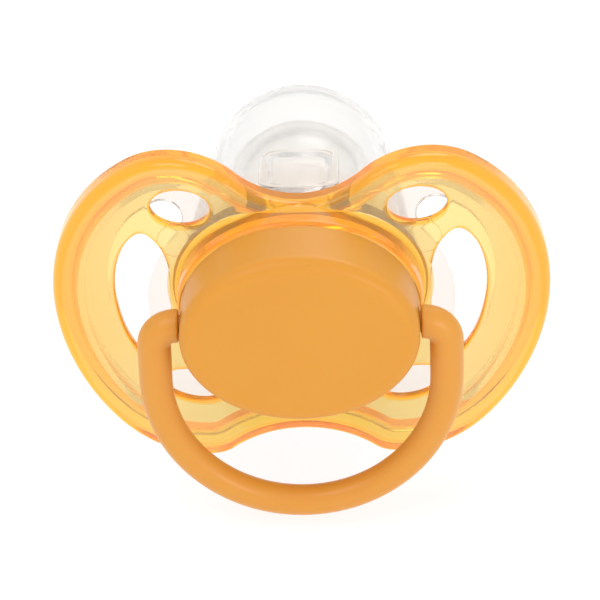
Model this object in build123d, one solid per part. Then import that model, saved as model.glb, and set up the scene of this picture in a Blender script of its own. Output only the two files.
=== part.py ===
from build123d import *
import os
from math import hypot, radians, sin, sqrt

# Baby's pacifier with a swinging ring handle and a clear push-on teat cap.
# Millimetres. +Z is up (the nose notch), -Y is the front (the knob), +Y runs along the teat.
# The origin is the centre of the shield's rear face, on the teat's axis.

# ---- shield: a bent plate with a thick rolled rim and a raised oval boss ----
plate = 1.3                     # plate thickness
bend_radius = 72.0              # of the plate's rear face, about an upright axis behind the shield
rim_width = 2.8
rim_back = 2.4                  # how far the rim stands behind the plate's rear face
rim_front_round = 1.1
rim_back_round = 0.6
notch_top = 10.6                # height of the nose notch on the centre line
notch_arc = (10.9, 40.0)        # radius and turn of each arc of the half outline, from the notch down
upper_lobe_arc = (10.2, 75.0)
side_arc = (20.5, 104.0)
lower_lobe_arc = (13.8, 49.0)
lower_corner_arc = (4.6, 30.0)

boss_base = (13.9, 10.45)       # half width and half height where the boss leaves the plate
boss_top = (13.5, 10.35)
boss_height = 3.4               # in front of the plate
boss_wall = 1.5
boss_floor = 1.2                # floor that the teat's flange seats on
neck_bore_r = 5.6

upper_vent = (3.3, 2.15)        # half width and half height
upper_vent_at = (13.1, 9.8)
upper_vent_tilt = 3.0
lower_vent = (3.6, 1.9)
lower_vent_at = (12.2, -12.6)
lower_vent_tilt = -6.0

# ---- knob: the hollow button that closes the boss and carries the ring ----
knob_half = (13.1, 10.1)
knob_front = -13.2              # flat face of the knob
knob_round = 1.5
knob_wall = 1.7
knob_floor = 1.2
collar_depth = 1.2              # collar that enters the boss
collar_wall = 1.5
seat_gap = 0.05
pivot_y = -8.65                 # the ring's pivot axis, along X at z = 0

# ---- ring handle ----
bar_r = 1.8
ring_half_width = 16.1          # centre line
ring_corner = 2.3
ring_drop = 22.7                # pivot to the lowest point of the centre line
ring_gap = 0.15                 # between the bar's ends and the knob
trunnion_r = 1.2
trunnion_length = 2.5
socket_clearance = 0.05         # round the trunnion
socket_end_gap = 0.2            # past the trunnion's end
socket_pad_r = 2.6
socket_end = 1.2                # pad length beyond the trunnion's end
pad_root = 0.4                  # how far a socket pad runs into the knob's wall

# ---- teat and its plug ----
bulb_r = 8.7
bulb_y = 21.1
teat_wall = 1.5
neck_r = 5.5
waist_r = 5.0
waist_y = 8.5
shoulder_r = 6.4                # where the neck runs into the bulb
flange_r = 8.2
flange_thick = 1.4
plug_reach = 3.0                # how far the plug's tube goes behind the shield's rear face
plug_wall = 1.0
plug_disc = 0.9

# ---- protective cap ----
cap_wall = 0.9
cap_dome_r = 10.7
cap_dome_y = 27.0
cap_neck_y = 18.0               # the hood is nearly round from here to the dome
cap_neck = (11.9, 10.4)         # half width and half height there
cap_base = (13.4, 9.8)          # half width and half height at the brim
hood_start = -1.0               # the hood is drawn from here and trimmed at the brim
cap_brim = 1.1                  # thickness
cap_brim_gap = 0.1              # between the brim and the rim
cap_brim_inset = 1.2            # from the shield's outline
skirt_inset = 2.95              # the skirt grips inside the rim
skirt_wall = 0.9
skirt_front = 0.2
skirt_gap_half = 9.0            # the skirt is left out near the centre line
pad_half_width = 4.5            # flat grip pad along the top of the hood
pad_top = 10.75
pad_y = (2.6, 12.6)
pad_height = 2.4

deep = 12.0                     # half depth of a cutting prism, more than any plate needs
tall = 90.0                     # height of the cylinders that bend the plates
front = -plate
boss_face = front - boss_height
cavity_half = (boss_top[0] - boss_wall, boss_top[1] - boss_wall)


def half_outline():
    """Right half of the shield's edge as tangent arcs, from the notch round to the lower centre."""
    bends = (upper_lobe_arc, side_arc, lower_lobe_arc, lower_corner_arc)
    arcs = [JernArc((0, notch_top), (1, 0), *notch_arc)]
    for radius, turn in bends:
        last = arcs[-1]
        arcs.append(JernArc(last @ 1, last % 1, radius, -turn))
    turn_left = sum(turn for _, turn in bends) - notch_arc[1] - 180
    last = arcs[-1]
    closing_radius = (last @ 1).X / sin(radians(turn_left))
    arcs.append(JernArc(last @ 1, last % 1, closing_radius, turn_left))
    return arcs


def outline_face(inset=0.0):
    right = Curve() + half_outline()
    face = make_face(right.edges() + mirror(right, Plane.YZ).edges())
    return offset(face, -inset) if inset else face


def facing_front(y):
    """Drawing plane at depth y, seen from the front: x right, y up."""
    return Plane((0, y, 0), x_dir=(1, 0, 0), z_dir=(0, -1, 0))


def prism(sketch, y_from=-deep, y_to=deep):
    """A front-view sketch pushed from depth y_from back to depth y_to."""
    return extrude(facing_front(y_to) * sketch, y_to - y_from)


def bent_block(y):
    """Everything behind depth y on the centre line, bent like the shield."""
    return Pos(0, bend_radius, 0) * Cylinder(bend_radius - y, tall)


def bent_band(y_from, y_to):
    return bent_block(y_from) - bent_block(y_to)


def oval_loft(*stations):
    """Loft through ovals given as (y, half width, half height)."""
    return loft([facing_front(y) * Ellipse(half_w, half_h) for y, half_w, half_h in stations])


def smooth_hole(points):
    return make_face(Spline(points, periodic=True))


def both_sides(shape):
    return [shape, mirror(shape, Plane.YZ)]


def bent_edges(solid, y):
    """Edges of the solid that lie on the bent surface at depth y."""
    radius = bend_radius - y
    def is_there(edge):
        return all(abs(hypot(p.X, p.Y - bend_radius) - radius) < 0.01 for p in (edge @ 0, edge @ 0.5))
    return solid.edges().filter_by(is_there)


def make_vents():
    """Six vents: an upper oval, a long side vent and a lower oval on each side of the boss."""
    upper = Pos(*upper_vent_at) * Rot(0, 0, -upper_vent_tilt) * Ellipse(*upper_vent)
    lower = Pos(*lower_vent_at) * Rot(0, 0, -lower_vent_tilt) * Ellipse(*lower_vent)
    side = smooth_hole([(17.3, 6.2), (19.2, 5.0), (20.5, 2.0), (20.8, -1.8), (19.9, -6.0), (18.2, -8.9),
                        (16.6, -9.3), (15.4, -7.2), (14.6, -3.0), (14.5, 0.8), (15.3, 4.2)])
    return both_sides(upper) + both_sides(side) + both_sides(lower)


def make_shield():
    """Bent plate with its rim, vents, boss, boss cavity and neck bore, in one moulding."""
    body = prism(outline_face()) & bent_band(front, rim_back)
    body = fillet(bent_edges(body, front), rim_front_round)
    body = fillet(bent_edges(body, rim_back), rim_back_round)
    body -= prism(outline_face(rim_width)) & bent_block(0)
    for vent in make_vents():
        body -= prism(vent)
    body += oval_loft((boss_face, *boss_top), (front, *boss_base), (0, *boss_base))
    body -= prism(Ellipse(*cavity_half), boss_face, -boss_floor)
    body -= prism(Circle(neck_bore_r))
    return body


def along_x(x, shape):
    """A shape turned about Z-axis made to lie along X, centred at x on the ring's pivot axis."""
    return Pos(x, pivot_y, 0) * Rot(0, 90, 0) * shape


def make_knob():
    """Hollow oval button: flat face, drum wall, floor with a collar, and two trunnion sockets."""
    half_w, half_h = knob_half
    body = prism(Ellipse(half_w, half_h), knob_front, boss_face)
    body = fillet(body.edges().sort_by(Axis.Y)[0], knob_round)
    hollow = Ellipse(half_w - knob_wall, half_h - knob_wall)
    body -= prism(hollow, knob_front + knob_wall, boss_face - knob_floor)
    collar_end = boss_face + collar_depth
    body += prism(Ellipse(cavity_half[0] - seat_gap, cavity_half[1] - seat_gap), boss_face, collar_end)
    opening = Ellipse(cavity_half[0] - collar_wall, cavity_half[1] - collar_wall)
    body -= prism(opening, boss_face - knob_floor, collar_end)
    pad_length = trunnion_length + socket_end - knob_wall + pad_root
    for side in (-1, 1):
        pad_x = half_w - knob_wall + pad_root - pad_length / 2
        body += along_x(side * pad_x, Cylinder(socket_pad_r, pad_length))
        socket = Cylinder(trunnion_r + socket_clearance, 2 * (trunnion_length + socket_end_gap))
        body -= along_x(side * half_w, socket)
    return body


def make_ring():
    """D-shaped bar whose ends turn in to two trunnions."""
    start_x = knob_half[0] + ring_gap
    stub = Line((start_x, 0), (ring_half_width - ring_corner, 0))
    corner = JernArc(stub @ 1, (1, 0), ring_corner, -90)
    leg = Line(corner @ 1, (ring_half_width, ring_half_width - ring_drop))
    bow = JernArc(leg @ 1, (0, -1), ring_half_width, -90)
    half_path = Curve() + [stub, corner, leg, bow]
    path = facing_front(pivot_y) * Wire(half_path.edges() + mirror(half_path, Plane.YZ).edges())
    body = sweep(Plane(path @ 0, z_dir=path % 0) * Circle(bar_r), path)
    for side in (-1, 1):
        body += along_x(side * (start_x - trunnion_length / 2), Cylinder(trunnion_r, trunnion_length))
    return body


def teat_skin(inset):
    """Neck and bulb outlines in the radius and +Y plane, moved inwards by inset."""
    neck_end = plug_reach + 0.4
    touch_r = shoulder_r - inset
    touch_y = bulb_y - sqrt((bulb_r - inset) ** 2 - touch_r ** 2)
    straight = Line((neck_r - inset, -boss_floor), (neck_r - inset, neck_end))
    bulb_tangent = (bulb_y - touch_y, touch_r)
    waist = Spline((neck_r - inset, neck_end), (waist_r - inset, waist_y), (touch_r, touch_y),
                   tangents=((0, 1), bulb_tangent))
    bulb = ThreePointArc(waist @ 1, (bulb_r - inset, bulb_y), (0, bulb_y + bulb_r - inset))
    return straight, waist, bulb


def make_teat():
    """Hollow silicone teat: flange, neck and round bulb, turned about the +Y axis."""
    outer = teat_skin(0)
    inner = teat_skin(teat_wall)
    flange_front = -boss_floor - flange_thick
    inner_r = neck_r - teat_wall
    flange = Polyline((inner_r, -boss_floor), (inner_r, flange_front), (flange_r, flange_front),
                      (flange_r, -boss_floor), (neck_r, -boss_floor))
    tip = Line(outer[-1] @ 1, inner[-1] @ 1)
    return revolve(make_face(Curve() + [*outer, tip, *inner, flange]), Axis.Y)


def make_plug():
    """Hollow plug: a disc that clamps the flange and a tube that stiffens the teat's neck."""
    disc_back = -boss_floor - flange_thick
    tube_r = neck_r - teat_wall - seat_gap
    disc = Ellipse(cavity_half[0] - seat_gap, cavity_half[1] - seat_gap)
    body = prism(disc, disc_back - plug_disc, disc_back)
    body += prism(Circle(tube_r), disc_back, plug_reach)
    return body - prism(Circle(tube_r - plug_wall), disc_back - plug_disc, plug_reach)


def hood(skin):
    """The cap's hood as a solid, moved inwards by skin: an oval mouth running to a round dome."""
    tube = oval_loft((hood_start, cap_base[0] - skin, cap_base[1] - skin),
                     (cap_neck_y, cap_neck[0] - skin, cap_neck[1] - skin),
                     (cap_dome_y, cap_dome_r - skin, cap_dome_r - skin))
    behind = Pos(0, cap_dome_y + deep, 0) * Box(2 * deep, 2 * deep, 2 * deep)
    dome = Pos(0, cap_dome_y, 0) * Sphere(cap_dome_r - skin) & behind
    return tube + dome


def make_cap():
    """Clear cap: windowed brim on the rim, skirt inside it, hood and a flat grip pad."""
    brim_y = rim_back + cap_brim_gap
    body = prism(outline_face(cap_brim_inset)) & bent_band(brim_y, brim_y + cap_brim)
    skirt = prism(outline_face(skirt_inset) - outline_face(skirt_inset + skirt_wall))
    middle = Box(2 * skirt_gap_half, 2 * deep, tall)
    skirt = (skirt & bent_band(skirt_front, brim_y + cap_brim / 2)) - middle
    body += skirt
    window = smooth_hole([(15.4, 8.6), (17.3, 7.6), (19.4, 5.6), (21.2, 2.0), (21.8, -3.0), (20.6, -8.2),
                          (18.6, -10.8), (17.3, -8.6), (17.4, -3.4), (16.6, -0.4), (15.2, 2.6), (13.5, 5.2),
                          (13.1, 7.0), (13.9, 8.3)])
    for cut in both_sides(window):
        body -= prism(cut)
    body += hood(0) & bent_block(brim_y)
    pad_front, pad_back = pad_y
    pad_at = Pos(0, (pad_front + pad_back) / 2, pad_top - pad_height / 2)
    body += pad_at * Box(2 * pad_half_width, pad_back - pad_front, pad_height)
    return body - hood(cap_wall)


makers = {
    "shield": make_shield,
    "knob": make_knob,
    "ring_handle": make_ring,
    "teat": make_teat,
    "teat_plug": make_plug,
    "protective_cap": make_cap,
}

os.makedirs("parts", exist_ok=True)
for name, make in makers.items():
    piece = make()
    piece.label = name
    export_step(piece, f"parts/{name}.step")
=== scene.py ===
import bmesh
import bpy
import numpy as np
from math import atan2, cos, pi, radians, sin, sqrt, tan
from mathutils import Matrix, Vector
from mathutils.geometry import delaunay_2d_cdt


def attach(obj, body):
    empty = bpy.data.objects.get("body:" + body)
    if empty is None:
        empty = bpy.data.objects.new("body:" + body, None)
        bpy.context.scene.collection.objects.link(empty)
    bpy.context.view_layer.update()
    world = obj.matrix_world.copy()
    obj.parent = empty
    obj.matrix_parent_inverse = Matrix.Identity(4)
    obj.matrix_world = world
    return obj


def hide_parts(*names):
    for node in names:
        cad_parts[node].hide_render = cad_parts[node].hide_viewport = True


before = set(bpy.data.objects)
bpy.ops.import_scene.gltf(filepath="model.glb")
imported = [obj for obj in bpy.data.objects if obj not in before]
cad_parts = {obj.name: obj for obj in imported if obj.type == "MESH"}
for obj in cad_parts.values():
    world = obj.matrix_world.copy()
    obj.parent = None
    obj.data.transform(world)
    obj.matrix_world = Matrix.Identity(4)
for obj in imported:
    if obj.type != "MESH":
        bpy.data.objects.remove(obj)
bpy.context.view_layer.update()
mm = 0.001    # sizes in this script are millimetres

# camera, floor and light
camera = {
    "target": (0, -1.8, 0),
    "azimuth": 1.28,      # degrees round from straight in front
    "elevation": 29.0,
    "roll": -1.65,
    "distance": 380,
    "lens": 205.7,
    "shift": (-0.0005, -0.0113),
}

studio = {
    "floorHeight": -26.0,
    "floorSize": 6000,
    "floorGrey": 0.3,
    "floorGlow": 0.80,
    "worldStrength": 0.82,
    "bounces": 32,        # enough for light to get through every clear wall
}

softboxes = {
    "keyTop": {"at": (-230, -260, 520), "size": 380, "watts": 0.85},
    "fillRight": {"at": (190, -300, 120), "size": 170, "watts": 0.26},
    "backTop": {"at": (120, 420, 460), "size": 360, "watts": 0.8},
}


def makeCamera(c):
    azimuth, elevation, roll = (radians(c[k]) for k in ("azimuth", "elevation", "roll"))
    back = Vector((sin(azimuth) * cos(elevation), -cos(azimuth) * cos(elevation), sin(elevation)))
    right = Vector((cos(azimuth), sin(azimuth), 0))
    up = back.cross(right)
    turnedRight = right * cos(roll) + up * sin(roll)
    turnedUp = up * cos(roll) - right * sin(roll)
    data = bpy.data.cameras.new("camera")
    data.sensor_width = 36
    data.lens = c["lens"]
    data.shift_x, data.shift_y = c["shift"]
    data.clip_start, data.clip_end = 0.01, 50
    obj = bpy.data.objects.new("camera", data)
    bpy.context.scene.collection.objects.link(obj)
    turn = Matrix((turnedRight, turnedUp, back)).transposed().to_4x4()
    place = Vector(c["target"]) * mm + back * c["distance"] * mm
    obj.matrix_world = Matrix.Translation(place) @ turn
    bpy.context.scene.camera = obj


def makeSoftbox(name, box):
    data = bpy.data.lights.new(name, "AREA")
    data.shape = "DISK"
    data.size = box["size"] * mm
    data.energy = box["watts"]
    obj = bpy.data.objects.new(name, data)
    place = Vector(box["at"]) * mm
    obj.location = place
    obj.rotation_mode = "QUATERNION"
    obj.rotation_quaternion = (-place).to_track_quat("-Z", "Y")
    bpy.context.scene.collection.objects.link(obj)


def makeStudio(s):
    world = bpy.data.worlds.new("whiteRoom")
    world.use_nodes = True
    world.node_tree.nodes["Background"].inputs["Color"].default_value = (1, 1, 1, 1)
    world.node_tree.nodes["Background"].inputs["Strength"].default_value = s["worldStrength"]
    bpy.context.scene.world = world
    half = s["floorSize"] / 2 * mm
    height = s["floorHeight"] * mm
    mesh = bpy.data.meshes.new("floor")
    corners = [(-half, -half, height), (half, -half, height), (half, half, height), (-half, half, height)]
    mesh.from_pydata(corners, [], [(0, 1, 2, 3)])
    floor = bpy.data.objects.new("floor", mesh)
    bpy.context.scene.collection.objects.link(floor)
    paper = bpy.data.materials.new("paleFloor")
    paper.use_nodes = True
    shader = paper.node_tree.nodes["Principled BSDF"]
    shader.inputs["Base Color"].default_value = (*(s["floorGrey"],) * 3, 1)
    shader.inputs["Roughness"].default_value = 0.9
    shader.inputs["Specular IOR Level"].default_value = 0
    shader.inputs["Emission Color"].default_value = (1, 1, 1, 1)
    shader.inputs["Emission Strength"].default_value = s["floorGlow"]
    mesh.materials.append(paper)


makeCamera(camera)
makeStudio(studio)
for name, box in softboxes.items():
    makeSoftbox(name, box)
view = bpy.context.scene.view_settings
view.view_transform = "Standard"
view.look = "None"
light = bpy.context.scene.cycles
light.max_bounces = light.transmission_bounces = light.glossy_bounces = studio["bounces"]
print("camera, floor and lights made")


def makeMouldedSurface():
    # faint clouding, uneven gloss and fine orange peel of moulded plastic
    group = bpy.data.node_groups.new("mouldedSurface", "ShaderNodeTree")
    face = group.interface
    defaults = {"Cloud Scale": 120.0, "Roughness": 0.2, "Roughness Spread": 0.05,
                "Peel Scale": 900.0, "Peel Height": 0.1}
    for name, value in defaults.items():
        face.new_socket(name, in_out="INPUT", socket_type="NodeSocketFloat").default_value = value
    for name, kind in (("Cloud", "Float"), ("Roughness", "Float"), ("Normal", "Vector")):
        face.new_socket(name, in_out="OUTPUT", socket_type="NodeSocket" + kind)
    nodes, links = group.nodes, group.links
    inn, out = nodes.new("NodeGroupInput"), nodes.new("NodeGroupOutput")
    place = nodes.new("ShaderNodeTexCoord")
    cloud, patch, peel = (nodes.new("ShaderNodeTexNoise") for _ in range(3))
    cloud.inputs["Detail"].default_value = 3
    patch.inputs["Scale"].default_value = 260
    patch.inputs["Detail"].default_value = 5
    peel.inputs["Detail"].default_value = 2
    spread = nodes.new("ShaderNodeMath")
    spread.operation = "MULTIPLY_ADD"
    centred = nodes.new("ShaderNodeMath")
    centred.operation = "SUBTRACT"
    centred.inputs[1].default_value = 0.5
    bump = nodes.new("ShaderNodeBump")
    bump.inputs["Distance"].default_value = 0.0001
    for noise in (cloud, patch, peel):
        links.new(place.outputs["Object"], noise.inputs["Vector"])
    links.new(inn.outputs["Cloud Scale"], cloud.inputs["Scale"])
    links.new(inn.outputs["Peel Scale"], peel.inputs["Scale"])
    links.new(patch.outputs["Fac"], centred.inputs[0])
    links.new(centred.outputs[0], spread.inputs[0])
    links.new(inn.outputs["Roughness Spread"], spread.inputs[1])
    links.new(inn.outputs["Roughness"], spread.inputs[2])
    links.new(peel.outputs["Fac"], bump.inputs["Height"])
    links.new(inn.outputs["Peel Height"], bump.inputs["Strength"])
    links.new(cloud.outputs["Fac"], out.inputs["Cloud"])
    links.new(spread.outputs[0], out.inputs["Roughness"])
    links.new(bump.outputs["Normal"], out.inputs["Normal"])
    return group


def makeFade(name, kind):
    # 0 to 1 between Low and High: of how squarely a surface faces front or back, or of its place along y
    group = bpy.data.node_groups.new(name, "ShaderNodeTree")
    face = group.interface
    face.new_socket("Low", in_out="INPUT", socket_type="NodeSocketFloat")
    face.new_socket("High", in_out="INPUT", socket_type="NodeSocketFloat")
    face.new_socket("Mask", in_out="OUTPUT", socket_type="NodeSocketFloat")
    nodes, links = group.nodes, group.links
    inn, out = nodes.new("NodeGroupInput"), nodes.new("NodeGroupOutput")
    parts, size, fade = (nodes.new("ShaderNode" + n) for n in ("SeparateXYZ", "Math", "MapRange"))
    source = nodes.new("ShaderNodeNewGeometry" if kind == "facing" else "ShaderNodeTexCoord")
    size.operation = "ABSOLUTE"
    fade.interpolation_type = "SMOOTHSTEP"
    links.new(source.outputs["Normal" if kind == "facing" else "Object"], parts.inputs[0])
    links.new(parts.outputs["Y"], size.inputs[0])
    links.new(size.outputs[0], fade.inputs["Value"])
    links.new(inn.outputs["Low"], fade.inputs["From Min"])
    links.new(inn.outputs["High"], fade.inputs["From Max"])
    links.new(fade.outputs["Result"], out.inputs["Mask"])
    return group


mouldedSurface = makeMouldedSurface()
# masks for the painted shade and glow: one by how a face turns, one by depth along y
facingFade = makeFade("facingFade", "facing")
depthFade = makeFade("depthFade", "depth")


def makePlastic(name, finish):
    # finish: pale and deep are the two ends of the clouding; the optional tints are painted shade on sideways
    # faces or near the cap's brim, the optional emission on sideways faces is a painted glow, absorb fills
    # the volume, and the rest goes to the shader's sockets
    material = bpy.data.materials.new(name)
    material.use_nodes = True
    nodes, links = material.node_tree.nodes, material.node_tree.links
    shader = nodes["Principled BSDF"]
    surface = nodes.new("ShaderNodeGroup")
    surface.node_tree = mouldedSurface
    for socket, value in finish["surface"].items():
        surface.inputs[socket].default_value = value
    tone = nodes.new("ShaderNodeMix")
    tone.data_type = "RGBA"
    tone.inputs["A"].default_value = (*finish["deep"], 1)
    tone.inputs["B"].default_value = (*finish["pale"], 1)
    links.new(surface.outputs["Cloud"], tone.inputs["Factor"])
    colour = tone.outputs["Result"]
    # painted shade: a darker tint mixed into the base colour on sideways faces, and near the cap's brim
    for part, fadeGroup in (("wallShade", facingFade), ("brimShade", depthFade)):
        if part not in finish:
            continue
        tint, low, high = finish[part]    # the tint shows below low and is gone above high
        fade, blend = nodes.new("ShaderNodeGroup"), nodes.new("ShaderNodeMix")
        fade.node_tree = fadeGroup
        fade.inputs["Low"].default_value, fade.inputs["High"].default_value = low, high
        blend.data_type = "RGBA"
        blend.inputs["A"].default_value = (*tint, 1)
        links.new(colour, blend.inputs["B"])
        links.new(fade.outputs["Mask"], blend.inputs["Factor"])
        colour = blend.outputs["Result"]
        if part == "wallShade" and "paintedGlow" in finish:    # painted glow: light piped to the edges of the tinted plastic, drawn as emission
            paintedGlow = nodes.new("ShaderNodeMix")
            paintedGlow.data_type = "RGBA"
            paintedGlow.inputs["A"].default_value = (*finish["paintedGlow"], 1)
            paintedGlow.inputs["B"].default_value = (0, 0, 0, 1)
            links.new(fade.outputs["Mask"], paintedGlow.inputs["Factor"])
            links.new(paintedGlow.outputs["Result"], shader.inputs["Emission Color"])
    links.new(colour, shader.inputs["Base Color"])
    links.new(surface.outputs["Roughness"], shader.inputs["Roughness"])
    links.new(surface.outputs["Normal"], shader.inputs["Normal"])
    for socket, value in finish["shader"].items():
        shader.inputs[socket].default_value = value
    if "absorb" in finish:
        tint, density = finish["absorb"]
        depth = nodes.new("ShaderNodeVolumeAbsorption")
        depth.inputs["Color"].default_value = (*tint, 1)
        depth.inputs["Density"].default_value = density
        links.new(depth.outputs["Volume"], nodes["Material Output"].inputs["Volume"])
    return material


finishes = {
    "amberShell": {
        "pale": (1.0, 0.965, 0.81), "deep": (0.995, 0.93, 0.71),
        # painted shade and glow: deeper amber and a faint orange emission on sideways faces, for light
        # passing a long way through the thick edges
        "wallShade": ((0.94, 0.59, 0.13), 0.86, 0.998), "paintedGlow": (1.0, 0.42, 0.04),
        "surface": {"Cloud Scale": 90.0, "Roughness": 0.09, "Roughness Spread": 0.04, "Peel Height": 0.02},
        # the Emission Strength lights the painted glow on the sideways faces
        "shader": {"Transmission Weight": 0.85, "IOR": 1.4, "Emission Strength": 0.15},
        "absorb": ((0.9956, 0.889, 0.244), 900.0),
    },
    "orangeKnob": {
        "pale": (0.73, 0.345, 0.048), "deep": (0.67, 0.265, 0.034),
        "surface": {"Cloud Scale": 30.0, "Roughness": 0.38, "Roughness Spread": 0.08, "Peel Height": 0.06},
        "shader": {"IOR": 1.46, "Specular IOR Level": 0.28, "Subsurface Weight": 0.3,
                   "Subsurface Scale": 0.002, "Subsurface Radius": (1.0, 0.35, 0.1)},
    },
    "orangeRing": {
        "pale": (0.73, 0.345, 0.050), "deep": (0.70, 0.285, 0.042),
        "surface": {"Cloud Scale": 40.0, "Roughness": 0.33, "Roughness Spread": 0.08, "Peel Height": 0.06},
        "shader": {"IOR": 1.46, "Specular IOR Level": 0.4, "Subsurface Weight": 0.3,
                   "Subsurface Scale": 0.002, "Subsurface Radius": (1.0, 0.35, 0.1)},
    },
    "clearSilicone": {
        "pale": (1.0, 0.995, 0.985), "deep": (0.985, 0.975, 0.955),
        "surface": {"Cloud Scale": 150.0, "Roughness": 0.1, "Roughness Spread": 0.06, "Peel Height": 0.05},
        "shader": {"Transmission Weight": 0.97, "IOR": 1.3},
        "absorb": ((0.7, 0.6, 0.45), 16.0),
    },
    "clearInsert": {
        "pale": (1.0, 1.0, 1.0), "deep": (0.98, 0.97, 0.95),
        "surface": {"Cloud Scale": 100.0, "Roughness": 0.06, "Roughness Spread": 0.03, "Peel Height": 0.03},
        "shader": {"Transmission Weight": 1.0, "IOR": 1.4},
        "absorb": ((0.6, 0.5, 0.4), 20.0),
    },
    "clearCap": {
        "pale": (1.0, 1.0, 1.0), "deep": (0.985, 0.98, 0.97),
        # painted warm shade near the brim, standing in for the orange and amber parts and their shade seen
        # through the clear plastic
        "brimShade": ((0.95, 0.895, 0.855), 0.006, 0.012),
        "surface": {"Cloud Scale": 100.0, "Roughness": 0.12, "Roughness Spread": 0.05, "Peel Height": 0.02},
        "shader": {"Transmission Weight": 0.95, "IOR": 1.22},
        "absorb": ((0.74, 0.58, 0.36), 26.0),
    },
}
materials = {name: makePlastic(name, finish) for name, finish in finishes.items()}
print("materials made")

# rows, fills and joins that every piece is made with
rowCount = 128           # points round an oval
sharpAngle = 38          # degrees; a sharper edge is shaded as a crease
weldDistance = 0.002     # points nearer than this become one


class Shell:
    # points and faces of closed solids, mostly joined rows of points
    def __init__(self):
        self.points, self.faces = [], []

    def row(self, loop):
        start = len(self.points)
        self.points.extend(loop)
        return list(range(start, len(self.points)))

    def bridge(self, a, b):
        for i in range(len(a)):
            j = (i + 1) % len(a)
            self.faces.append((a[i], a[j], b[j], b[i]))

    def rows(self, loops):
        made = [self.row(loop) for loop in loops]
        for a, b in zip(made, made[1:]):
            self.bridge(a, b)
        return made[0], made[-1]

    def pole(self, row, point):
        centre = self.row([point])[0]
        for i in range(len(row)):
            self.faces.append((row[i], row[(i + 1) % len(row)], centre))

    def fill(self, outer, holes, spacing, place):
        # triangles between an outer row and some holes, as seen from the front
        loops = [outer, *holes]
        outlines = [np.array([(self.points[i][0], self.points[i][2]) for i in loop]) for loop in loops]
        border = np.concatenate(outlines)
        low, high = border.min(0), border.max(0)
        rowStep, clearance = spacing * 0.866, 0.55 * spacing
        grid = []
        for k, z in enumerate(np.arange(low[1], high[1], rowStep)):
            grid += [(x, z) for x in np.arange(low[0] + (k % 2) * spacing / 2, high[0], spacing)]
        grid = np.array(grid)
        gap = np.min(np.hypot(*(grid[:, None] - border[None]).transpose(2, 0, 1)), axis=1)
        grid = grid[isWithin(grid, outlines) & (gap > clearance)]
        ids = [i for loop in loops for i in loop] + self.row([place(x, z) for x, z in grid])
        edges, start = [], 0
        for loop in loops:
            edges += [(start + i, start + (i + 1) % len(loop)) for i in range(len(loop))]
            start += len(loop)
        flat = [Vector(p) for p in np.concatenate((border, grid))]
        spots, _, triangles, came, _, _ = delaunay_2d_cdt(flat, edges, [], 0, 1e-7)
        centres = np.array([sum((spots[v] for v in t), Vector((0, 0))) / 3 for t in triangles])
        for t, kept in zip(triangles, isWithin(centres, outlines)):
            if kept:
                self.faces.append(tuple(ids[came[v][0]] for v in t))

    def solid(self, name):
        mesh = bpy.data.meshes.new(name)
        mesh.from_pydata([Vector(p) * mm for p in self.points], [], self.faces)
        obj = bpy.data.objects.new(name, mesh)
        bpy.context.scene.collection.objects.link(obj)
        cleanUp(mesh)
        return obj


def cleanUp(mesh):
    made = bmesh.new()
    made.from_mesh(mesh)
    bmesh.ops.remove_doubles(made, verts=made.verts, dist=weldDistance * mm)
    bmesh.ops.recalc_face_normals(made, faces=made.faces)
    made.to_mesh(mesh)
    made.free()


def isWithin(spots, outlines):
    # inside the first outline and outside the others
    answers = []
    for outline in outlines:
        crossed = np.zeros(len(spots), bool)
        for (x0, z0), (x1, z1) in zip(outline, np.roll(outline, -1, axis=0)):
            if z0 == z1:
                continue
            spans = (z0 > spots[:, 1]) != (z1 > spots[:, 1])
            crossed ^= spans & (spots[:, 0] < x0 + (spots[:, 1] - z0) * (x1 - x0) / (z1 - z0))
        answers.append(crossed)
    return answers[0] & ~np.any(answers[1:], axis=0) if len(answers) > 1 else answers[0]


def combine(piece, tool, operation):
    joint = piece.modifiers.new("combine", "BOOLEAN")
    joint.operation, joint.solver, joint.object = operation, "EXACT", tool
    bpy.context.view_layer.update()
    shown = piece.evaluated_get(bpy.context.evaluated_depsgraph_get())
    mesh = bpy.data.meshes.new_from_object(shown)
    piece.modifiers.clear()
    piece.data = mesh
    bpy.data.objects.remove(tool)
    cleanUp(mesh)


def finishPiece(piece, node, body, finish):
    mesh = piece.data
    mesh.materials.clear()
    mesh.materials.append(materials[finish])
    mesh.shade_smooth()
    mesh.set_sharp_from_angle(angle=radians(sharpAngle))
    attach(piece, body)
    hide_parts(node)
    print(piece.name, "made,", len(mesh.polygons), "faces")


def rounded(corners, steps=6):
    # corners are (across, depth, radius); each becomes an arc with a short flat at both ends
    flat = 0.15    # length of each short flat, as a part of the radius
    path = [Vector(corners[0][:2])]
    for before, corner, after in zip(corners, corners[1:], corners[2:]):
        here, radius = Vector(corner[:2]), corner[2]
        if not radius:
            path.append(here)
            continue
        toBefore = (Vector(before[:2]) - here).normalized()
        toAfter = (Vector(after[:2]) - here).normalized()
        half = toBefore.angle(toAfter) / 2
        reach = radius / tan(half)
        centre = here + (toBefore + toAfter).normalized() * radius / sin(half)
        start, end = here + toBefore * reach - centre, here + toAfter * reach - centre
        turn = pi - 2 * half
        path.append(centre + start + toBefore * flat * radius)
        for i in range(steps + 1):
            t = i / steps
            path.append(centre + (start * sin((1 - t) * turn) + end * sin(t * turn)) / sin(turn))
        path.append(centre + end + toAfter * flat * radius)
    path.append(Vector(corners[-1][:2]))
    return [tuple(p) for p in path]


def oval(halfWidth, halfHeight, depth, count=rowCount):
    angles = [2 * pi * i / count for i in range(count)]
    return [(halfWidth * sin(a), depth, halfHeight * cos(a)) for a in angles]


def smoothStep(low, high, value):
    t = min(max((value - low) / (high - low), 0), 1)
    return t * t * (3 - 2 * t)


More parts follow.
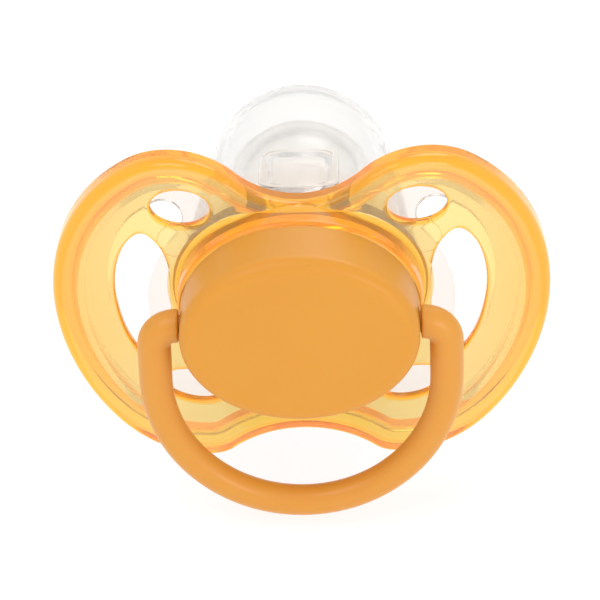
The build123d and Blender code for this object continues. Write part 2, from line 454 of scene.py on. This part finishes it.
def closedCurve(knots, perSpan=8):
    # smooth closed outline through a few (x, z) knots
    points = []
    for i in range(len(knots)):
        a, b, c, d = (Vector(knots[(i + k) % len(knots)]) for k in (-1, 0, 1, 2))
        for step in range(perSpan):
            t = step / perSpan
            points.append(((2 * b) + (c - a) * t + (2 * a - 5 * b + 4 * c - d) * t ** 2
                           + (3 * b - a - 3 * c + d) * t ** 3) / 2)
    return points


def shifted(loop, outwards):
    # a closed (x, z) loop moved along its own normals
    area = sum(a[0] * b[1] - b[0] * a[1] for a, b in zip(loop, loop[1:] + loop[:1]))
    side = outwards if area > 0 else -outwards
    moved = []
    for before, here, after in zip(loop[-1:] + loop[:-1], loop, loop[1:] + loop[:1]):
        along = (Vector(after) - Vector(before)).normalized()
        moved.append((here[0] + along[1] * side, here[1] - along[0] * side))
    return moved


def mirrored(loop):
    return [(-x, z) for x, z in loop]


# bent amber plate with a rolled rim, six vents and a raised oval boss
shield = {
    "plate": 1.3,
    "bendRadius": 72.0,             # of the rear face, about an upright axis behind the shield
    "notchTop": 10.6,
    "edgeGap": 0.002,               # keeps the edge just inside the real size
    # radius and turn of each arc of the half outline, from the nose notch down; the last closes it
    "outline": [(10.9, 40), (10.2, -75), (20.5, -104), (13.8, -49), (4.6, -30)],
    "rimWidth": 2.8, "rimBack": 2.4, "rimFrontRound": 1.1, "rimBackRound": 0.6,
    "bossBase": (13.9, 10.45), "bossTop": (13.5, 10.35), "bossHeight": 3.4, "bossFillet": 0.75,
    "bossFlare": 0.95, "bossBack": -0.6,
    "cavity": (12.0, 8.85), "cavityFloor": -1.31, "neckBore": 5.6,
    "upperVent": {"half": (3.3, 2.15), "at": (13.1, 9.8), "tilt": 3.0},
    "lowerVent": {"half": (3.6, 1.9), "at": (12.2, -12.6), "tilt": -6.0},
    "sideVent": [(17.3, 6.2), (19.2, 5.0), (20.5, 2.0), (20.8, -1.8), (19.9, -6.0), (18.2, -8.9),
                 (16.6, -9.3), (15.4, -7.2), (14.6, -3.0), (14.5, 0.8), (15.3, 4.2)],
    "ventLip": (0.55, 0.2),         # rounding of the vents' front and rear edges
    "marks": [(13.8, 5.35), (8.7, 9.8)],    # round ejector marks, both sides
    "markRadius": 1.9, "markDepth": 0.12,
    "spacing": 0.95,                # between the points inside its flat faces
}
bossFace = -shield["plate"] - shield["bossHeight"]


def bent(x, depth):
    return shield["bendRadius"] - sqrt((shield["bendRadius"] - depth) ** 2 - x * x)


def traceOutline():
    # (x, z, heading) round the whole edge, clockwise from the nose notch
    arcs = list(shield["outline"])
    left = -180 - sum(turn for _, turn in arcs)
    x, z, heading, right = 0.0, shield["notchTop"], 0.0, []
    for index in range(len(arcs) + 1):
        if index == len(arcs):
            arcs.append((x / abs(sin(radians(left))), left))
        radius, turn = arcs[index]
        side = 1 if turn > 0 else -1
        cx, cz = x - side * radius * sin(heading), z + side * radius * cos(heading)
        count = max(6, round(radius * radians(abs(turn)) / 0.42))
        for step in range(count + 1):
            h = heading + radians(turn) * step / count
            if step or not right:
                right.append((cx + side * radius * sin(h), cz - side * radius * cos(h), h))
        x, z, heading = right[-1]
    return right + [(-px, pz, -2 * pi - h) for px, pz, h in reversed(right[1:-1])]


outline = traceOutline()


def edgeRow(inset, depth):
    # the shield's outline moved inwards, on the bent surface at a depth
    away = inset + shield["edgeGap"]
    row = []
    for x, z, heading in outline:
        px, pz = x + away * sin(heading), z - away * cos(heading)
        row.append((px, bent(px, depth), pz))
    return row


def bentRow(loop, depth):
    return [(x, bent(x, depth), z) for x, z in loop]


def ventLoops():
    loops = []
    for vent in (shield["upperVent"], shield["lowerVent"]):
        (a, b), (x, z), tilt = vent["half"], vent["at"], radians(vent["tilt"])
        angles = [2 * pi * i / 64 for i in range(64)]
        loops.append([(x + a * sin(t) * cos(tilt) + b * cos(t) * sin(tilt),
                       z - a * sin(t) * sin(tilt) + b * cos(t) * cos(tilt)) for t in angles])
    loops.append([tuple(p) for p in closedCurve(shield["sideVent"])])
    return loops + [mirrored(loop) for loop in loops]


def makePlate():
    s = shield
    front, back = -s["plate"], s["rimBack"]
    shell = Shell()
    rim = rounded([(1.45, front, 0), (0, front, s["rimFrontRound"]), (0, back, s["rimBackRound"]),
                   (s["rimWidth"], back, 0.45), (s["rimWidth"], 0, 0.22), (s["rimWidth"] + 0.3, 0, 0)])
    frontEdge, backEdge = shell.rows([edgeRow(inset, depth) for inset, depth in rim])
    frontHoles, backHoles = [], []
    frontLip, backLip = s["ventLip"]
    wall = rounded([(frontLip + 0.15, front, 0), (0, front, frontLip),
                    (0, 0, backLip), (backLip + 0.1, 0, 0)], 5)
    for loop in ventLoops():
        a, b = shell.rows([bentRow(shifted(loop, outwards), depth) for outwards, depth in wall])
        frontHoles.append(a)
        backHoles.append(b)
    shell.fill(frontEdge, frontHoles, s["spacing"], lambda x, z: (x, bent(x, front), z))
    shell.fill(backEdge, backHoles, s["spacing"], lambda x, z: (x, bent(x, 0), z))
    return shell.solid("shield.plate")


def bossRow(inset, depth):
    s = shield
    up = min(max((-s["plate"] - depth) / s["bossHeight"], 0), 1)
    halfWidth, halfHeight = (base + (top - base) * up for base, top in zip(s["bossBase"], s["bossTop"]))
    hold = smoothStep(-s["plate"] - s["bossHeight"], -1.4, depth)
    row = []
    for x, _, z in oval(1, 1, 0):
        free = smoothStep(4, 8, abs(x) * halfWidth) if z > 0 else 1    # no flare where the notch cuts in
        grow = -inset * free if inset < 0 else -inset
        px, pz = x * (halfWidth + grow), z * (halfHeight + grow)
        row.append((px, depth + (bent(px, depth) - depth) * hold, pz))
    return row


def makeBoss():
    s = shield
    shell = Shell()
    front = -s["plate"]
    profile = rounded([(-s["bossFlare"], s["bossBack"], 0), (-s["bossFlare"], front + 0.03, 0),
                       (0, front - 0.03, s["bossFillet"]), (0, bossFace, 0.5), (1.6, bossFace, 0)])
    back, top = shell.rows([bossRow(inset, depth) for inset, depth in profile])
    shell.pole(top, (0, bossFace, 0))
    inner = [bossRow(inset, s["bossBack"]) for inset in (3, 6, 9)]
    rows = shell.rows(inner)
    shell.bridge(back, rows[0])
    shell.pole(rows[1], (0, s["bossBack"], 0))
    return shell.solid("shield.boss")


def makeCavity():
    # what is cut out of the boss: the oval seat for the button and the bore for the teat's neck
    s = shield
    shell = Shell()
    floor, bore = s["cavityFloor"], s["neckBore"]
    seat = rounded([(-0.4, bossFace - 1, 0), (-0.4, bossFace, 0), (0, bossFace + 0.05, 0.35),
                    (0, floor, 0.3), (1.2, floor, 0)])
    halfWidth, halfHeight = s["cavity"]
    rows = [oval(halfWidth - inset, halfHeight - inset, depth) for inset, depth in seat]
    neck = rounded([(bore + 1.0, floor, 0), (bore, floor, 0.25), (bore, 0.12, 0.25), (bore + 0.4, 0.14, 0),
                    (bore + 0.4, 2, 0)])
    rows += [oval(radius, radius, depth) for radius, depth in neck]
    first, last = shell.rows(rows)
    shell.pole(first, (0, bossFace - 1, 0))
    shell.pole(last, (0, 2, 0))
    return shell.solid("shield.cavity")


def makeMarks():
    # shallow round cuts in the rear face
    s = shield
    shell = Shell()
    for x, z in s["marks"] + mirrored(s["marks"]):
        loop = [(x + px, z + pz) for px, _, pz in oval(s["markRadius"], s["markRadius"], 0, 48)]
        rows = rounded([(-0.15, -s["markDepth"], 0), (0, -s["markDepth"], 0.08), (0, 0.4, 0)], 3)
        first, last = shell.rows([bentRow(shifted(loop, outwards), depth) for outwards, depth in rows])
        shell.pole(first, (x, bent(x, -s["markDepth"]), z))
        shell.pole(last, (x, bent(x, 0.4), z))
    return shell.solid("shield.marks")


def makeShield():
    piece = makePlate()
    combine(piece, makeBoss(), "UNION")
    combine(piece, makeCavity(), "DIFFERENCE")
    combine(piece, makeMarks(), "DIFFERENCE")
    piece.name = "amberShield"
    finishPiece(piece, "shield", "soother", "amberShell")


# hollow oval button with a softly crowned face and two sockets for the ring
knob = {
    "half": (13.1, 10.1), "front": -13.198, "round": 1.5, "crown": 0.12,
    "wall": 1.7, "floor": 1.2, "collar": 1.2, "collarInset": 1.3, "openingInset": 2.75,
    "faceInset": 3.2, "floorInset": 4.0,
    "pivotDepth": -8.65, "socket": 1.25, "socketDepth": 2.7, "pad": 2.6, "padFrom": 9.5, "padTo": 12.1,
}


def rod(shell, radius, fromX, toX, depth, edge=0.0, count=48):
    # a round bar along x, with its ends rounded by edge
    half = (toX - fromX) / 2
    middle = (toX + fromX) / 2
    corners = [(0.02, -half, 0), (radius, -half, edge), (radius, half, edge), (0.02, half, 0)]
    turns = [2 * pi * i / count for i in range(count)]
    loops = [[(middle + x, depth + r * cos(a), r * sin(a)) for a in turns] for r, x in rounded(corners, 4)]
    first, last = shell.rows(loops)
    shell.pole(first, (fromX, depth, 0))
    shell.pole(last, (toX, depth, 0))


def makeKnob():
    k = knob
    halfWidth, halfHeight = k["half"]
    shell = Shell()
    hollowBack = bossFace - k["floor"]
    edgeDepth = k["front"] + k["crown"]
    profile = rounded([(k["faceInset"], edgeDepth, 0), (0, edgeDepth, k["round"]), (0, bossFace - 0.03, 0.22),
                       (k["collarInset"], bossFace - 0.03, 0.1),
                       (k["collarInset"], bossFace + k["collar"], 0.2),
                       (k["openingInset"], bossFace + k["collar"], 0.2), (k["openingInset"], hollowBack, 0.2),
                       (k["wall"], hollowBack, 0.15), (k["wall"], k["front"] + k["wall"], 0.6),
                       (k["floorInset"], k["front"] + k["wall"], 0)])
    rows = [oval(halfWidth - inset, halfHeight - inset, depth) for inset, depth in profile]
    first, last = shell.rows(rows)
    faceWidth, faceHeight = halfWidth - k["faceInset"], halfHeight - k["faceInset"]
    crown = [oval(faceWidth * s, faceHeight * s, k["front"] + k["crown"] * s * s)
             for s in (0.8, 0.6, 0.4, 0.2)]
    crownRows = shell.rows(crown)
    shell.bridge(first, crownRows[0])
    shell.pole(crownRows[1], (0, k["front"], 0))
    shell.pole(last, (0, k["front"] + k["wall"], 0))
    piece = shell.solid("orangeKnob")
    pads, sockets = Shell(), Shell()
    for side in (-1, 1):
        inner, outer = sorted((side * k["padFrom"], side * k["padTo"]))
        rod(pads, k["pad"], inner, outer, k["pivotDepth"])
        inner, outer = sorted((side * (halfWidth - k["socketDepth"]), side * (halfWidth + 1)))
        rod(sockets, k["socket"], inner, outer, k["pivotDepth"])
    combine(piece, pads.solid("knob.pads"), "UNION")
    combine(piece, sockets.solid("knob.sockets"), "DIFFERENCE")
    finishPiece(piece, "knob", "soother", "orangeKnob")


# D-shaped bar, a little thinner at the bottom, on two trunnions
ring = {
    "barTop": 1.86, "barBottom": 1.74, "halfWidth": 16.02, "corner": 2.3, "drop": 22.7, "gap": 0.15,
    "trunnion": 1.2, "trunnionLength": 2.5, "endRound": 0.3,
}


def ringPath():
    # (x, z, outward x, outward z) down the right half of the centre line, from its stub to the bottom
    r = ring
    bendX, bowZ = r["halfWidth"] - r["corner"], r["halfWidth"] - r["drop"]
    half = [(knob["half"][0] + r["gap"] + r["endRound"], 0.0, 0.0, 1.0)]
    for i in range(13):
        t = pi / 2 * i / 12
        half.append((bendX + r["corner"] * sin(t), r["corner"] * (cos(t) - 1), sin(t), cos(t)))
    half += [(r["halfWidth"], -r["corner"] + (bowZ + r["corner"]) * i / 6, 1.0, 0.0) for i in range(1, 6)]
    half += [(r["halfWidth"] * cos(t), bowZ - r["halfWidth"] * sin(t), cos(t), -sin(t))
             for t in (pi / 2 * i / 48 for i in range(49))]
    return half


def makeRing():
    r = ring
    depth, count = knob["pivotDepth"], 48
    half = ringPath()
    path = [(-x, z, -nx, nz) for x, z, nx, nz in half] + half[-2::-1]

    def section(x, z, nx, nz, radius):
        turns = [2 * pi * i / count for i in range(count)]
        return [(x + nx * radius * cos(a), depth + radius * sin(a), z + nz * radius * cos(a)) for a in turns]

    def thickness(z):
        return r["barTop"] + (r["barBottom"] - r["barTop"]) * smoothStep(0, r["drop"], -z)

    reach = r["endRound"] + r["trunnionLength"]
    end = rounded([(r["barTop"], 0, 0), (r["barTop"], r["endRound"], r["endRound"] * 0.9),
                   (r["trunnion"], r["endRound"], 0.1), (r["trunnion"], reach, 0.25), (0.03, reach, 0)])[1:]
    startX = half[0][0]
    leftEnd = [section(-startX + along, 0, 0, 1, radius) for radius, along in reversed(end)]
    rightEnd = [section(startX - along, 0, 0, 1, radius) for radius, along in end]
    shell = Shell()
    first, last = shell.rows(leftEnd + [section(*at, thickness(at[1])) for at in path] + rightEnd)
    shell.pole(first, (-startX + reach, depth, 0))
    shell.pole(last, (startX - reach, depth, 0))
    piece = shell.solid("orangeRing")
    finishPiece(piece, "ring_handle", "ring", "orangeRing")


# hollow silicone bulb, neck and flange
teat = {
    "bulb": 8.7, "bulbDepth": 21.1, "wall": 1.5, "neck": 5.5, "neckEnd": 3.4, "waist": 5.0, "waistDepth": 8.5,
    "shoulder": 6.4, "flange": 8.2, "flangeFront": -2.6, "flangeBack": -1.34,
}


def curveBetween(start, startTurn, end, endTurn, count=12):
    # smooth (radius, depth) stretch that leaves and arrives in the given directions
    reach = (Vector(end) - Vector(start)).length
    points = []
    for i in range(count):
        t = i / count
        points.append(tuple(Vector(start) * (2 * t ** 3 - 3 * t ** 2 + 1)
                            + Vector(end) * (3 * t ** 2 - 2 * t ** 3)
                            + Vector(startTurn).normalized() * reach * (t ** 3 - 2 * t ** 2 + t)
                            + Vector(endTurn).normalized() * reach * (t ** 3 - t ** 2)))
    return points


def teatSkin(inset):
    # (radius, depth) from the neck's straight part to the tip
    t = teat
    bulb, touch = t["bulb"] - inset, t["shoulder"] - inset
    touchDepth = t["bulbDepth"] - sqrt(bulb ** 2 - touch ** 2)
    waist = (t["waist"] - inset, t["waistDepth"])
    skin = curveBetween((t["neck"] - inset, t["neckEnd"]), (0, 1), waist, (0, 1))
    skin += curveBetween(waist, (0, 1), (touch, touchDepth), (t["bulbDepth"] - touchDepth, touch))
    start = atan2(touchDepth - t["bulbDepth"], touch)
    steps = 36
    for i in range(steps):
        angle = start + (pi / 2 - start) * i / steps
        skin.append((bulb * cos(angle), t["bulbDepth"] + bulb * sin(angle)))
    return skin, (0, t["bulbDepth"] + bulb)


def makeTeat():
    t = teat
    outer, outerTip = teatSkin(0)
    inner, innerTip = teatSkin(t["wall"])
    bore = t["neck"] - t["wall"]
    flange = rounded([(t["neck"], t["neckEnd"] - 0.5, 0), (t["neck"], t["flangeBack"], 0.15),
                      (t["flange"], t["flangeBack"], 0.4), (t["flange"], t["flangeFront"], 0.4),
                      (bore, t["flangeFront"], 0.2), (bore, t["neckEnd"] - 0.5, 0)])
    profile = outer[::-1] + flange + inner
    shell = Shell()
    first, last = shell.rows([oval(radius, radius, depth) for radius, depth in profile])
    shell.pole(first, (0, outerTip[1], 0))
    shell.pole(last, (0, innerTip[1], 0))
    piece = shell.solid("siliconeTeat")
    finishPiece(piece, "teat", "soother", "clearSilicone")


# disc that clamps the flange, with a tube inside the neck
plug = {"disc": (11.9, 8.75), "discFront": -3.5, "discBack": -2.62, "tube": 3.94, "wall": 1.0, "end": 3.0}


def makePlug():
    p = plug
    (width, height), bore = p["disc"], p["tube"] - p["wall"]
    disc = rounded([(3.0, p["discFront"], 0), (0, p["discFront"], 0.3), (0, p["discBack"], 0.3),
                    (3.0, p["discBack"], 0)])
    tube = rounded([(p["tube"] + 0.6, p["discBack"], 0), (p["tube"], p["discBack"], 0.3),
                    (p["tube"], p["end"], 0.3), (bore, p["end"], 0.3), (bore, p["discFront"], 0.3),
                    (bore + 0.8, p["discFront"], 0)])
    shell = Shell()
    rows = [oval(width - inset, height - inset, depth) for inset, depth in disc]
    rows += [oval(radius, radius, depth) for radius, depth in tube]
    first, last = shell.rows(rows)
    shell.bridge(last, first)
    piece = shell.solid("clearPlug")
    finishPiece(piece, "teat_plug", "soother", "clearInsert")


# clear windowed brim, push-on skirt, hood with a grip pad, and a round dome
cap = {
    "wall": 0.9, "dome": 10.69, "domeDepth": 27.0, "neckDepth": 18.0, "neck": (11.9, 10.4),
    "base": (13.4, 9.8), "baseDepth": -1.0, "brimFront": 2.5, "brim": 1.1, "brimInset": 1.2,
    "hoodFillet": 0.35, "hoodFlare": 0.95,
    "bendFade": (4.4, 8),           # depths over which the brim's bend fades out along the hood
    "skirtInset": 2.95, "skirtWall": 0.9, "skirtFront": 0.2, "skirtGap": (17.0, 9.5), "skirtTaper": 12,
    "padHalfWidth": 4.5, "padTop": 10.72, "padDepths": (2.9, 12.6),
    "padCorner": 2.3, "padRoot": 1.9, "padPocket": 0.3, "spacing": 1.1,
    "window": [(15.4, 8.6), (17.3, 7.6), (19.4, 5.6), (21.2, 2.0), (21.8, -3.0), (20.6, -8.2), (18.6, -10.8),
               (17.3, -8.6), (17.4, -3.4), (16.6, -0.4), (15.2, 2.6), (13.5, 5.2), (13.1, 7.0), (13.9, 8.3)],
}


def hoodHalf(depth, which, skin):
    # half width (0) or half height (1) of the hood: a smooth curve through its three ovals, then the dome
    c = cap
    if depth > c["domeDepth"]:
        return sqrt(max((c["dome"] - skin) ** 2 - (depth - c["domeDepth"]) ** 2, 0))
    a, b, d = c["baseDepth"], c["neckDepth"], c["domeDepth"]
    return (c["base"][which] * (depth - b) * (depth - d) / ((a - b) * (a - d))
            + c["neck"][which] * (depth - a) * (depth - d) / ((b - a) * (b - d))
            + c["dome"] * (depth - a) * (depth - b) / ((d - a) * (d - b))) - skin


def hoodRow(depth, skin, flare=0.0):
    halfWidth, halfHeight = hoodHalf(depth, 0, skin), hoodHalf(depth, 1, skin)
    hold = 1 - smoothStep(*cap["bendFade"], depth)
    row = []
    for x, _, z in oval(1, 1, 0):
        free = smoothStep(5, 9, abs(x) * halfWidth) if z > 0 else 1
        px, pz = x * (halfWidth + flare * free), z * (halfHeight + flare * free)
        row.append((px, depth + (bent(px, depth) - depth) * hold, pz))
    return row


def makeHood(skin, name):
    c = cap
    brimBack, flare, straight = c["brimFront"] + c["brim"], c["hoodFlare"], c["bendFade"][1]
    if skin:
        start = [(0, depth) for depth in (-3, 0, 2, 4, 6, straight)]
    else:
        start = rounded([(flare, brimBack - 0.6, 0), (flare, brimBack - 0.02, 0),
                         (0, brimBack + 0.02, c["hoodFillet"]), (0, straight, 0)])
    steps = 30
    body = [(0, straight + (c["domeDepth"] - straight) * i / 12) for i in range(1, 13)]
    radius = c["dome"] - skin
    body += [(0, c["domeDepth"] + radius * sin(pi / 2 * i / steps)) for i in range(1, steps)]
    shell = Shell()
    first, last = shell.rows([hoodRow(depth, skin, spread) for spread, depth in start + body])
    shell.pole(first, (0, start[0][1], 0))
    shell.pole(last, (0, c["domeDepth"] + radius, 0))
    return shell.solid(name)


def makeBrim():
    c = cap
    front, back = c["brimFront"], c["brimFront"] + c["brim"]
    shell = Shell()
    inset = c["brimInset"]
    edge = rounded([(inset + 0.35, front, 0), (inset, front, 0.25),
                    (inset, back, 0.25), (inset + 0.35, back, 0)], 4)
    frontEdge, backEdge = shell.rows([edgeRow(away, depth) for away, depth in edge])
    wall = rounded([(0.35, front, 0), (0, front, 0.25), (0, back, 0.25), (0.35, back, 0)], 4)
    window = [tuple(p) for p in closedCurve(c["window"])]
    frontHoles, backHoles = [], []
    for loop in (window, mirrored(window)):
        a, b = shell.rows([bentRow(shifted(loop, outwards), depth) for outwards, depth in wall])
        frontHoles.append(a)
        backHoles.append(b)
    shell.fill(frontEdge, frontHoles, c["spacing"], lambda x, z: (x, bent(x, front), z))
    shell.fill(backEdge, backHoles, c["spacing"], lambda x, z: (x, bent(x, back), z))
    return shell.solid("clearCap")


def addSkirt(shell, side):
    # push-on wall inside the rim, one side, as a bar of rounded section along the outline
    c = cap
    low, high = c["skirtInset"], c["skirtInset"] + c["skirtWall"]
    front, back = c["skirtFront"], c["brimFront"] + c["brim"] / 2
    middle = (low + high) / 2
    section = rounded([(middle, front, 0), (high, front, 0.2), (high, back, 0.2), (low, back, 0.2),
                       (low, front, 0.2), (middle, front, 0)], 3)[:-1]
    gapBelow, gapAbove = c["skirtGap"]
    kept = [i for i, (x, z, _) in enumerate(outline) if x * side > (gapAbove if z > 0 else gapBelow)]
    rows = []
    for order, i in enumerate(kept):
        full = 0.15 + 0.85 * smoothStep(0, c["skirtTaper"], min(order, len(kept) - 1 - order))
        x, z, heading = outline[i]
        row = []
        for inset, depth in section:
            px, deep = x + inset * sin(heading), back + (depth - back) * full
            row.append((px, bent(px, deep), z - inset * cos(heading)))
        rows.append(row)
    first, last = shell.rows(rows)
    shell.faces += [tuple(first), tuple(last)]


def addPad(shell):
    c = cap
    front, back = c["padDepths"]
    half, middle, corner = c["padHalfWidth"], (front + back) / 2, c["padCorner"]
    low = c["padTop"] - c["padRoot"]

    def level(inset, height):
        loop = []
        for sx, sy, start in ((1, 1, 0), (-1, 1, 90), (-1, -1, 180), (1, -1, 270)):
            cx, cy = sx * (half - corner), middle + sy * ((back - front) / 2 - corner)
            for i in range(7):
                a = radians(start + 15 * i)
                loop.append((cx + (corner - inset) * cos(a), cy + (corner - inset) * sin(a), height))
        return loop

    pocket = c["padTop"] - c["padPocket"]
    top = rounded([(0, low, 0), (0, c["padTop"], 0.55), (0.8, c["padTop"], 0.3), (1.6, pocket, 0.3),
                   (2.0, pocket, 0)])
    first, last = shell.rows([level(inset, height) for inset, height in top])
    shell.faces += [tuple(first), tuple(last)]


def makeCap():
    piece = makeBrim()
    combine(piece, makeHood(0, "cap.hood"), "UNION")
    extras = Shell()
    addSkirt(extras, 1)
    addSkirt(extras, -1)
    addPad(extras)
    combine(piece, extras.solid("cap.extras"), "UNION")
    combine(piece, makeHood(cap["wall"], "cap.hollow"), "DIFFERENCE")
    finishPiece(piece, "protective_cap", "cap", "clearCap")


makeShield()
makeKnob()
makeRing()
makeTeat()
makePlug()
makeCap()
print("pieces made")
